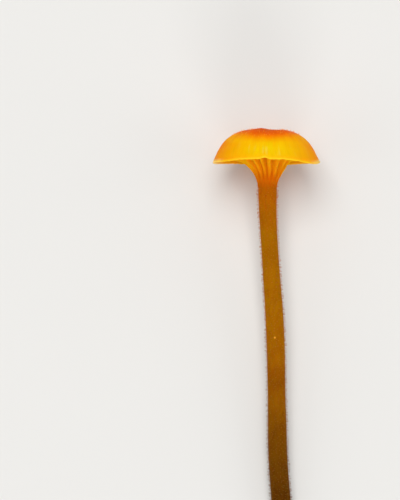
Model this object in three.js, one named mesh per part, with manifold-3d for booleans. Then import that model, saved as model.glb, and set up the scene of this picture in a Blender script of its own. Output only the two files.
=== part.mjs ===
// A moss navel, a small orange mushroom, picked and laid on its side on a flat surface.
// Millimetres. +Z is up and the surface is z = 0. The stem runs along Y, with the cap towards +Y.
// Cap, gills and stem grew as one piece, so they are one solid. It is shaped upright first, with
// the axis of the cap on Z and the cap's margin at z = 0, and then bent, tipped over and flattened
// where it touches the surface.
import * as THREE from 'three';
import { mergeVertices } from 'three/addons/utils/BufferGeometryUtils.js';
import Module from 'manifold-3d';

const wasm = await Module();
wasm.setup();

// Driving dimensions.
const CAP_RADIUS = 5.5;
const CAP_SEGMENTS = 72;
const STEM_LENGTH = 38.6; // margin of the cap to the foot of the stem
const FOOT_RADIUS = 1.07; // the stem at its foot, where it touches the surface
const FOOT_ROUNDING = 1.8; // length of the foot's rounded end
const STEM_SEGMENTS = 28;
const GILL_COUNT = 18; // gills that run from the margin down onto the stem
const GILL_THICKNESS = 0.2;
const GILL_FOOT = -2.75; // height at which the long gills fade into the stem
const PRESS = 0.12; // how far the margin and the foot are flattened by the surface

// Outlines, as [distance from the axis, height above the margin].
const DOME = [
  [0, 2.76], [0.5, 2.84], [1.05, 3.1], [1.6, 3.26], [2.45, 3.12], [3.2, 2.87],
  [3.9, 2.46], [4.5, 1.88], [4.95, 1.22], [5.28, 0.6], [CAP_RADIUS, 0],
];
const MARGIN_LIP = [[5.49, -0.08], [5.41, -0.12], [5.33, -0.05]];
const UNDERSIDE = [
  [5.33, -0.05], [5.06, 0.5], [4.45, 1.3], [3.7, 1.95], [2.9, 2.2], [2.15, 1.75],
  [1.75, 1.05], [1.46, 0.2], [1.24, -0.7], [1.08, -1.5], [0.85, -2.3],
];
const GILL_EDGE = [
  [5.24, 0.06], [4.45, 0.22], [3.5, 0.16], [2.7, -0.04], [2.25, -0.28], [1.95, -0.58],
  [1.72, -0.92], [1.5, -1.25], [1.3, -1.62], [1.12, -2.15], [0.9, GILL_FOOT],
];
const GILL_ROOT = [[0.5, GILL_FOOT], [0.6, 1.8], [2.1, 2.5], [3.2, 2.55], [4.2, 1.75], [5.08, 0.55]];
const SHORT_GILL_REACH = 3.3; // distance from the axis at which the short gills end

// Stem: [height, radius], foot first, and its lean as [height, to the right, towards the back].
const STEM_OUTLINE = [
  [-STEM_LENGTH, 0.01], [-38.45, 0.55], [-37.9, 0.93], [FOOT_ROUNDING - STEM_LENGTH, FOOT_RADIUS],
  [-34.6, 0.99], [-28, 0.95], [-24, 0.91], [-19, 0.93], [-14, 0.9], [-9.5, 0.86], [-5, 0.92],
  [-2.4, 1], [0, 1], [1.9, 0.8],
];
const STEM_LEAN = [
  [-STEM_LENGTH, 1.9, -0.2], [-34.6, 1.47, -0.12], [-30.5, 1.18, 0], [-25.5, 1.07, 0.12],
  [-20, 0.98, 0.2], [-15, 0.76, 0.22], [-10, 0.41, 0.18], [-6, 0.17, 0.08], [-2.4, 0.11, 0],
  [0, 0, 0], [4, 0, 0],
];

// Waves of the margin: [direction in degrees, rise or fall, width in degrees]. Directions go round
// the cap from its front, which faces up once the mushroom lies down, towards its right.
const MARGIN_WAVES = [
  [56, -0.26, 26], [-8, 0.1, 8], [-54, -0.1, 16], [-92, -0.1, 24], [-148, 0.12, 26],
  [100, -0.06, 20], [135, 0.08, 20],
];
const SCALLOP = 0.03; // the margin swells by this much over each long gill
const LIP_TILT = 0.07; // the lip of the navel is higher on its left by this much
const LIP_RADIUS = 1.5;
const LIP_WIDTH = 0.9;
const LIP_HEIGHTS = [2.6, 3.1]; // the tilt starts at the first height and is whole at the second

const LIE_ANGLE = Math.atan((CAP_RADIUS - FOOT_RADIUS) / (STEM_LENGTH - FOOT_ROUNDING));

/** Points on a smooth curve through an outline's corners. */
function smoothLine(outline, steps) {
  const corners = outline.map(([x, y]) => new THREE.Vector2(x, y));
  return new THREE.SplineCurve(corners).getPoints(steps);
}

/** A closed geometry as a solid that can be joined and cut. */
function solidOf(geometry) {
  geometry.deleteAttribute('normal');
  geometry.deleteAttribute('uv');
  const merged = mergeVertices(geometry, 1e-4);
  return new wasm.Manifold(new wasm.Mesh({
    numProp: 3,
    vertProperties: merged.attributes.position.array,
    triVerts: new Uint32Array(merged.index.array),
  }));
}

/** A solid as a geometry. */
function geometryOf(solid) {
  const mesh = solid.getMesh();
  return new THREE.BufferGeometry()
    .setAttribute('position', new THREE.BufferAttribute(Float32Array.from(mesh.vertProperties), 3))
    .setIndex(new THREE.BufferAttribute(Uint32Array.from(mesh.triVerts), 1));
}

/** Turns a profile, from the foot of the axis to its top, round the Z axis. */
function turned(profile, segments) {
  const lathe = new THREE.LatheGeometry(profile, segments);
  lathe.rotateX(Math.PI / 2);
  return solidOf(lathe);
}

/** The flesh of the cap, thin at the margin and thick over the stem. */
function capFlesh() {
  const top = smoothLine(DOME, 16);
  const lip = MARGIN_LIP.slice(0, -1).map(([x, y]) => new THREE.Vector2(x, y));
  const below = smoothLine(UNDERSIDE, 11);
  const foot = new THREE.Vector2(0, below.at(-1).y);
  return turned([...top, ...lip, ...below, foot].reverse(), CAP_SEGMENTS);
}

/** The stem, from inside the flesh of the cap down to its rounded foot. */
function stem() {
  const side = smoothLine(STEM_OUTLINE, 34).map(({ x, y }) => new THREE.Vector2(y, x));
  const foot = new THREE.Vector2(0, -STEM_LENGTH);
  const top = new THREE.Vector2(0, STEM_OUTLINE.at(-1)[0]);
  return turned([foot, ...side, top], STEM_SEGMENTS);
}

/** One gill, a thin blade under the cap in the direction given, ending at reach from the axis. */
function gill(direction, reach) {
  const edge = smoothLine(GILL_EDGE, 12).filter((point) => point.x > reach);
  const root = smoothLine(GILL_ROOT, 6).filter((point) => point.x > reach);
  const blade = new THREE.ExtrudeGeometry(new THREE.Shape([...edge, ...root]), {
    depth: GILL_THICKNESS,
    bevelEnabled: false,
  });
  blade.translate(0, 0, -GILL_THICKNESS / 2);
  blade.rotateX(Math.PI / 2);
  blade.rotateZ(direction);
  return solidOf(blade);
}

/** Long gills that reach the stem, with a short one between each two. */
function gills() {
  const step = (2 * Math.PI) / GILL_COUNT;
  const blades = [];
  for (let i = 0; i < GILL_COUNT; i += 1) {
    blades.push(gill(i * step, 0));
    blades.push(gill((i + 0.5) * step, SHORT_GILL_REACH));
  }
  return blades;
}

/** How far the margin rises or falls in a direction, in degrees from the front. */
function marginWave(degrees) {
  return MARGIN_WAVES.reduce((sum, [at, rise, width]) => {
    const away = ((degrees - at + 540) % 360) - 180;
    return sum + rise * Math.exp(-((away / width) ** 2));
  }, 0);
}

/** Gives the turned shape its wavy margin, uneven navel and leaning stem. */
function grow(geometry) {
  const heights = STEM_LEAN.map((row) => row[0]);
  const leans = STEM_LEAN.flatMap((row) => row.slice(1));
  const lean = new THREE.CubicInterpolant(heights, leans, 2);
  const place = geometry.attributes.position;
  for (let i = 0; i < place.count; i += 1) {
    const x = place.getX(i);
    const y = place.getY(i);
    const z = place.getZ(i);
    const out = Math.hypot(x, y);
    const share = out / CAP_RADIUS;
    const around = Math.atan2(x, -y);
    const swell = 1 + (SCALLOP / CAP_RADIUS) * share ** 8 * Math.cos(GILL_COUNT * (around + Math.PI / 2));
    const nearLip = Math.exp(-(((out - LIP_RADIUS) / LIP_WIDTH) ** 2))
      * THREE.MathUtils.smoothstep(z, ...LIP_HEIGHTS);
    const rise = marginWave(THREE.MathUtils.radToDeg(around)) * share ** 5
      - LIP_TILT * nearLip * Math.sin(around);
    const [right, back] = lean.evaluate(z);
    place.setXYZ(i, x * swell + right, y * swell + back, z + rise);
  }
}

/** Lays the mushroom down on its back and trims off what would be under the surface. */
function layDown(geometry) {
  geometry.rotateX(LIE_ANGLE - Math.PI / 2);
  geometry.computeBoundingBox();
  geometry.translate(0, 0, -PRESS - geometry.boundingBox.min.z);
  const reach = 4 * STEM_LENGTH;
  const ground = new THREE.BoxGeometry(reach, reach, STEM_LENGTH);
  ground.translate(0, 0, -STEM_LENGTH / 2);
  return geometryOf(solidOf(geometry).subtract(solidOf(ground)));
}

/** Moves the shape so that the middle of its base is the origin. */
function centred(geometry) {
  geometry.computeBoundingBox();
  const middle = geometry.boundingBox.getCenter(new THREE.Vector3());
  geometry.translate(-middle.x, -middle.y, 0);
  geometry.computeVertexNormals();
  return geometry;
}

const whole = gills().reduce((body, blade) => body.add(blade), capFlesh().add(stem()));
const upright = geometryOf(whole);
grow(upright);

const flesh = new THREE.MeshStandardMaterial({ color: 0xf09a10, roughness: 0.55, metalness: 0 });
const mushroom = new THREE.Mesh(centred(layDown(upright)), flesh);
mushroom.name = 'mushroom';

const part = new THREE.Group();
part.add(mushroom);

export default part;
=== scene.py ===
"""A moss navel, a small orange mushroom, picked and laid on its side on a pale floor.

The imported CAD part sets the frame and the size. The mushroom is shaped upright first, in
millimetres, with the cap's axis on Z and the margin at z = 0. Then it is bent, laid down,
pressed onto the floor and put where the CAD's box is, in metres.
"""

import logging
import math
from dataclasses import dataclass, field
from enum import Enum

import bpy
import numpy as np
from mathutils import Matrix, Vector
from numpy.typing import NDArray

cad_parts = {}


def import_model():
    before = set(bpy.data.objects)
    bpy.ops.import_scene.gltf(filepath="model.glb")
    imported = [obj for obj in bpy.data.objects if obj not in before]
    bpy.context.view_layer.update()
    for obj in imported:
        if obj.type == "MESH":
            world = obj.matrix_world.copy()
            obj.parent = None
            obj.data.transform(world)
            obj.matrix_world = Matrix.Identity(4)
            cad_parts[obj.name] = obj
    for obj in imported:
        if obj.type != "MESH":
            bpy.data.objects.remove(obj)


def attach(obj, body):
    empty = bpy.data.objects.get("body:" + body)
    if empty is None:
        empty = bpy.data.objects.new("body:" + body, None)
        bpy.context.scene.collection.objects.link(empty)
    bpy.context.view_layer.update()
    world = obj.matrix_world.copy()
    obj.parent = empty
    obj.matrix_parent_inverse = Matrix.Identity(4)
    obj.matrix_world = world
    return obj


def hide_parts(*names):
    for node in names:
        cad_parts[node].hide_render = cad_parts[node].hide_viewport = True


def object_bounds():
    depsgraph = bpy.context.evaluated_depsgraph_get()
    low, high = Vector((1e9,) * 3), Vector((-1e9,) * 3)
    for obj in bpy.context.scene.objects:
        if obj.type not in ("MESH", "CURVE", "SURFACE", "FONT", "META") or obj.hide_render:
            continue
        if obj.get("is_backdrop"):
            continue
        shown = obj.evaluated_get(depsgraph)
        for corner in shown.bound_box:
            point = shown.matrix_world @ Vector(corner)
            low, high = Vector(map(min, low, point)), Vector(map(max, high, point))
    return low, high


Array = NDArray[np.float64]
Colour = tuple[float, float, float]
Span = tuple[float, float]
Place = tuple[float, float, float]
Rows = tuple[tuple[float, float, float], ...]
Socket = bpy.types.NodeSocket

MM = 0.001
BODY = "root"
NODE = "mushroom"

# Driving sizes, in millimetres.
CAP_RADIUS = 5.5
NAVEL_HEIGHT = 2.76
GILL_FOOT = -2.75  # the height at which the long gills have run into the stem
GILL_FOOT_RADIUS = 0.97
STEM_LENGTH = 38.6
FOOT_RADIUS = 1.07
FOOT_ROUNDING = 1.8  # the length of the foot's rounded end
LONG_GILLS = 18
SLOTS = 4 * LONG_GILLS  # one slot for each gill, long, middling or short

# The bake's map: the cap and the gills lie below, and the stem above.
BAKE_MAP = "OFBake"
CAP_MAP_HEIGHT = 0.66
STEM_MAP_START = 0.68
STEM_MAP_HEIGHT = 0.32
SEAM_MAP_HEIGHT = 0.675
MAP_FILL = 0.998  # the share of its area that a grid's map fills

log = logging.getLogger("moss_navel")


class Zone(Enum):
    """Where a stretch of the outline starts, on the scale that the finishes read."""

    CAP = 0.0
    MARGIN = 1.0
    GILLS = 1.03
    STEM = 2.0
    FOOT = 3.0


def smooth_step(low: float, high: float, value: Array) -> Array:
    """0 below low, 1 above high, and 3t^2 - 2t^3 between them.

    Args:
        low: where the step starts; it may be above high, for a falling step.
        high: where the step ends.
        value: the values to read the step at.

    Returns:
        The step's height at each value.
    """
    t = np.clip((value - low) / (high - low), 0, 1)
    return t * t * (3 - 2 * t)


def sunlit(red: int, green: int, blue: int) -> Colour:
    """A colour given in 8-bit sRGB, as the linear colour that a shader takes."""
    parts = (c / 255 for c in (red, green, blue))
    return tuple(c / 12.92 if c <= 0.04045 else ((c + 0.055) / 1.055) ** 2.4 for c in parts)


def bells(around: Array, rows: Rows) -> Array:
    """A sum of bell curves round the axis: size * e^-((turn from its direction) / width)^2.

    Args:
        around: directions, in radians from the front.
        rows: each (direction in degrees from the front, size, width in degrees).

    Returns:
        The sum at each direction, in the unit of the sizes.
    """
    turns = np.degrees(around)
    return sum(
        size * np.exp(-((((turns - at + 540) % 360 - 180) / width) ** 2)) for at, size, width in rows
    )


@dataclass(frozen=True)
class Outline:
    """A smooth outline through corners, each (distance from the axis, height) in millimetres."""

    corners: tuple[tuple[float, float], ...]

    def curve(self, places: Array) -> Array:
        """Points of a uniform Catmull-Rom curve.

        Between corners b and c, with a before b and d after c, the slopes are (c - a) / 2 and
        (d - b) / 2, and the point is the cubic that has those ends and slopes.

        Args:
            places: places along the curve, 0 at the first corner and 1 at the last, with the
                same share of the scale between each two corners.

        Returns:
            One row (distance from the axis, height) for each place.
        """
        points = np.array(self.corners, float)
        last = len(points) - 1
        t = np.clip(places, 0, 1) * last
        k = np.minimum(t.astype(int), last - 1)
        w = (t - k)[:, None]
        a, b, c, d = (points[np.clip(k + step, 0, last)] for step in (-1, 0, 1, 2))
        start = (c - a) / 2
        end = (d - b) / 2
        return (
            b
            + start * w
            + (3 * (c - b) - 2 * start - end) * w**2
            + (2 * (b - c) + start + end) * w**3
        )

    def evenly(self, shares: Array) -> Array:
        """Points at shares of the curve's running length.

        Args:
            shares: shares of the whole length, from 0 to 1.

        Returns:
            One row (distance from the axis, height) for each share.
        """
        fine = np.linspace(0, 1, 80 * len(self.corners))
        points = self.curve(fine)
        run = np.r_[0, np.hypot(*np.diff(points, axis=0).T).cumsum()]
        return self.curve(np.interp(shares * run[-1], run, fine))


@dataclass(frozen=True)
class Ripple:
    """Smooth chance variation round the axis and along it: a sum of seeded sine waves."""

    seed: int
    slowest: int
    fastest: int
    along: float = 1.0
    waves: int = 9

    def at(self, around: Array, along: Array) -> Array:
        """The mean of sin(n * around + m * along + phase), with a chance n, m and phase each.

        Args:
            around: directions round the axis, in radians.
            along: places along the growth, in any unit.

        Returns:
            The variation, mostly between -1 and 1.
        """
        rng = np.random.default_rng(self.seed)
        total = np.zeros(np.broadcast(around, along).shape)
        for _ in range(self.waves):
            n = rng.integers(self.slowest, self.fastest + 1)
            m = rng.uniform(-1, 1) * self.along
            total += np.sin(n * around + m * along + rng.uniform(0, 2 * math.pi))
        return total / math.sqrt(self.waves)


@dataclass(frozen=True)
class Growth:
    """How the turned shape departs from a turned one: wavy margin, uneven navel, bent stem."""

    scallop: float = 0.03
    lip_radius: float = 1.5
    lip_width: float = 0.9
    # The navel's lip waves from nothing at the first height to its whole at the second.
    lip_heights: Span = (2.6, 3.1)
    # Waves of the margin: (direction in degrees from the front, rise, width in degrees).
    waves: Rows = (
        (57, -0.33, 25),
        (16, 0.05, 6),
        (-3.8, 0.17, 3),
        (-9, 0.06, 10),
        (-30, 0.04, 12),
        (-54, -0.1, 16),
        (-92, -0.1, 24),
        (-148, 0.12, 26),
        (97, 0.06, 14),
        (135, 0.08, 20),
    )
    # Waves of the navel's lip, the same way.
    lip_waves: Rows = (
        (-90, -0.02, 30),
        (-20, 0.09, 25),
        (-160, 0.08, 25),
        (30, -0.1, 28),
        (150, -0.06, 28),
    )
    # The stem's lean: (height, to the right, towards the back).
    lean: Rows = (
        (-STEM_LENGTH, 1.9, -0.2),
        (-34.6, 1.47, -0.12),
        (-30.5, 1.18, 0),
        (-25.5, 1.07, 0.12),
        (-20, 0.98, 0.2),
        (-15, 0.76, 0.22),
        (-10, 0.41, 0.18),
        (-6, 0.17, 0.08),
        (-2.4, 0.11, 0),
        (-0.8, 0.13, 0),
        (0, 0, 0),
        (1.6, -0.03, 0),
        (4, -0.03, 0),
    )

    def lean_at(self, height: Array) -> Array:
        """How far the axis stands to the right and the back.

        A cubic runs through the rows of lean, and its slope at each row is the mean of the
        slopes beside it, weighted by the other's span.

        Args:
            height: heights above the margin.

        Returns:
            The two offsets, in the last axis.
        """
        rows = np.array(self.lean, float)
        z = rows[:, 0]
        at = rows[:, 1:]
        slope = np.gradient(at, z, axis=0)
        k = np.clip(np.searchsorted(z, height) - 1, 0, len(z) - 2)
        span = (z[k + 1] - z[k])[..., None]
        t = np.clip((height - z[k])[..., None] / span, 0, 1)
        return (
            (2 * t**3 - 3 * t**2 + 1) * at[k]
            + (t**3 - 2 * t**2 + t) * span * slope[k]
            + (3 * t**2 - 2 * t**3) * at[k + 1]
            + (t**3 - t**2) * span * slope[k + 1]
        )

    def grown(self, out: Array, around: Array, height: Array) -> Array:
        """Places a turned shape's points, with its waves and its lean.

        The distance from the axis swells a little, by a cosine with one wave to each long gill,
        times the ninth power of the share of the radius. The margin rises and
        falls by its waves, times the fifth power of the share of the radius. The navel's lip
        rises and falls by its own, times a bell curve of the distance from the lip.

        Args:
            out: distances from the axis.
            around: directions, in radians from the front, growing to the right.
            height: heights above the margin.

        Returns:
            The points x (right), y (back), z (up), in the last axis.
        """
        share = out / CAP_RADIUS
        swell = self.scallop * share**9 * np.cos(LONG_GILLS * (around - math.pi / LONG_GILLS))
        near_lip = np.exp(-(((out - self.lip_radius) / self.lip_width) ** 2))
        near_lip = near_lip * smooth_step(*self.lip_heights, height)
        margin = bells(around, self.waves)
        lip = bells(around, self.lip_waves)
        rise = margin * share**5 + lip * near_lip
        lean = self.lean_at(height)
        x = (out + swell) * np.sin(around) + lean[..., 0]
        y = -(out + swell) * np.cos(around) + lean[..., 1]
        return np.stack([x, y, height + rise], -1)


@dataclass
class Lying:
    """Lays the upright mushroom down on its back, pressed onto the floor, in the CAD's box."""

    low: Array
    high: Array
    press: float = 0.12
    give: float = 0.03
    drop: float = 0.0
    shift: Array = field(default_factory=lambda: np.zeros(3))

    def tipped(self, points: Array) -> Array:
        """Turns points about X until the margin's back and the foot are level.

        Args:
            points: upright points, in millimetres.

        Returns:
            The turned points, in millimetres.
        """
        lie = math.atan((CAP_RADIUS - FOOT_RADIUS) / (STEM_LENGTH - FOOT_ROUNDING))
        turn = lie - math.pi / 2
        x, y, z = np.moveaxis(points, -1, 0)
        return np.stack(
            [x, y * math.cos(turn) - z * math.sin(turn), y * math.sin(turn) + z * math.cos(turn)],
            -1,
        )

    def pressed(self, points: Array) -> Array:
        """Softly flattens what would be under the floor: z becomes give * log(1 + e^(z/give))."""
        flat = points.copy()
        flat[..., 2] = self.give * np.logaddexp(0, points[..., 2] / self.give)
        return flat

    def settle(self, points: Array) -> None:
        """Finds how far the whole shape drops and shifts, so that its box is the CAD's.

        Args:
            points: the upright points of the whole mushroom.
        """
        tipped = self.tipped(points).reshape(-1, 3)
        self.drop = -self.press - tipped[:, 2].min()
        flat = self.pressed(tipped + (0, 0, self.drop)) * MM
        middle = (flat.min(0) + flat.max(0)) / 2
        self.shift = (self.low + self.high) / 2 - middle
        self.shift[2] = self.low[2] - flat[:, 2].min()

    def laid(self, points: Array) -> Array:
        """Upright points, in millimetres, where they lie, in metres."""
        return self.pressed(self.tipped(points) + (0, 0, self.drop)) * MM + self.shift


@dataclass
class Grid:
    """Rows of points from one end of a turned surface to the other, not yet bent or laid.

    Each array has one row for each ring and one column for each direction.
    """

    out: Array
    around: Array
    height: Array
    growth: Array
    gill: Array

    def stacked(self, below: "Grid") -> "Grid":
        """This grid with another one's rings added after its own."""
        pairs = zip(self.arrays(), below.arrays())
        return Grid(*(np.concatenate(pair, axis=0) for pair in pairs))

    def arrays(self) -> tuple[Array, ...]:
        """The grid's arrays, in the order of its fields."""
        return self.out, self.around, self.height, self.growth, self.gill

    def grain(self) -> Array:
        """Places in a space that is short along the growth, so that noise in it gives fibres.

        It is the sine and the cosine of the direction, and the growth scale, drawn out by parts.
        """
        along = np.interp(self.growth, [0, 1, 2, 3], [0, 0.3, 0.7, 2.2])
        return np.stack([np.sin(self.around), np.cos(self.around), along], -1)


@dataclass
class Cap:
    """The domed cap, from the middle of its navel to its thin rounded margin."""

    per_slot: int = 6
    rings: int = 70
    lip_rings: int = 7
    lip_radius: float = 0.085
    lip_middle: tuple[float, float] = (5.43, -0.03)
    lip_arc: Span = (14, -170)  # degrees
    crowding: float = 0.92
    # Chance relief: its depth in millimetres, and its waves.
    dent: float = 0.035
    dents: Ripple = Ripple(seed=11, slowest=2, fastest=8, along=0.9)
    pit: float = 0.006
    pits: Ripple = Ripple(seed=12, slowest=20, fastest=60, along=2.0, waves=14)
    crinkle: float = 0.012
    crinkles: Ripple = Ripple(seed=21, slowest=24, fastest=70, along=0.0, waves=12)
    stripe_depth: float = 0.02
    stripe_strength: float = 0.6
    stripe_chance: float = 0.4
    stripe_ripple: Ripple = Ripple(seed=5, slowest=3, fastest=17)
    # Where relief comes in or goes out: (from, to), as shares of the radius.
    dents_come: Span = (0.15, 0.5)
    stripes_come: Span = (0.5, 0.85)
    stripes_go: Span = (1.0, 0.95)
    relief_goes: Span = (1.0, 0.9)
    # Where the orange disc reaches further out: (direction in degrees, how far, width in degrees).
    disc_waves: Rows = (
        (0, 0.2, 43),
        (180, -0.17, 66),
        (-140, -0.02, 24),
        (-95, 0.045, 30),
        (100, 0.04, 30),
    )
    dome: Outline = Outline(
        (
            (0, NAVEL_HEIGHT),
            (0.5, 2.84),
            (1.05, 3.1),
            (1.6, 3.26),
            (2.45, 3.12),
            (3.2, 2.87),
            (3.9, 2.46),
            (4.5, 1.88),
            (4.94, 1.22),
            (5.235, 0.6),
            (5.51, 0),
        )
    )

    def directions(self) -> Array:
        """Evenly spaced directions, per_slot of them for each gill's slot, centred on it."""
        share = np.arange(SLOTS * self.per_slot) / self.per_slot - 0.5
        return share * 2 * math.pi / SLOTS

    def stripes(self, around: Array) -> Array:
        """Narrow bumps from 0 to 1 over the long and the middling gills.

        It is the twelfth power of a cosine's size, with two bumps to each long gill's share of
        the round, times a chance strength.

        Args:
            around: directions, in radians.

        Returns:
            The height of the stripes.
        """
        strength = self.stripe_strength + self.stripe_chance * self.stripe_ripple.at(around, 0)
        return np.abs(np.cos(around * LONG_GILLS)) ** 12 * np.clip(strength, 0, 1)

    def build(self) -> Grid:
        """The rings of the dome and of the margin's rounded lip.

        The dome is its outline turned about the axis. Its rings crowd a little outwards, at
        shares of the outline's length to the power crowding. Its flank sinks along the stripes and
        swells and sinks gently by chance, more towards the margin. The lip is an arc. The
        growth scale is the share of the radius, less the disc's waves times 4r(1 - r), which is
        1 halfway out.

        Returns:
            The grid, without the point on the axis.
        """
        around = np.tile(self.directions(), (self.rings, 1))
        share = np.linspace(0, 1, self.rings + 1)[1:] ** self.crowding
        line = self.dome.evenly(share)
        out = np.repeat(line[:, :1], around.shape[1], 1)
        height = np.repeat(line[:, 1:], around.shape[1], 1)
        reach = out / CAP_RADIUS
        flank = smooth_step(*self.stripes_come, reach) * smooth_step(*self.stripes_go, reach)
        swell = self.dent * self.dents.at(around, out) * smooth_step(*self.dents_come, reach)
        fine = self.pit * self.pits.at(around, out)
        stripes = self.stripe_depth * flank * self.stripes(around)
        low = (swell + fine) * smooth_step(*self.relief_goes, reach) - stripes
        out = out + low * reach
        height = height + low * (1 - reach**2)
        growth = reach - bells(around, self.disc_waves) * 4 * reach * (1 - reach)
        dome = Grid(out, around, height, growth, np.zeros_like(out))
        return dome.stacked(self.lip())

    def lip(self) -> Grid:
        """The margin's lip, an arc from the outer flank round to the underside.

        Returns:
            The grid.
        """
        turn = np.radians(np.linspace(*self.lip_arc, self.lip_rings + 1)[1:])[:, None]
        around = np.tile(self.directions(), (self.lip_rings, 1))
        crinkle = self.crinkle * self.crinkles.at(around, 0)
        out = self.lip_middle[0] + self.lip_radius * np.cos(turn) + crinkle
        height = self.lip_middle[1] + self.lip_radius * np.sin(turn) + crinkle
        span = Zone.GILLS.value - Zone.MARGIN.value
        growth = Zone.MARGIN.value + span * np.linspace(0.1, 1, self.lip_rings)[:, None]
        return Grid(out, around, height, growth + 0 * out, np.zeros_like(out))


class Reach(Enum):
    """How far in from the margin a gill runs: (where it fades out, where it is whole, height).

    The places are distances from the axis, and the height is a share of the whole height.
    """

    LONG = (0.0, 0.0, 1.0)
    MIDDLING = (2.5, 3.7, 0.92)
    SHORT = (4.1, 4.8, 0.62)


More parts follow.
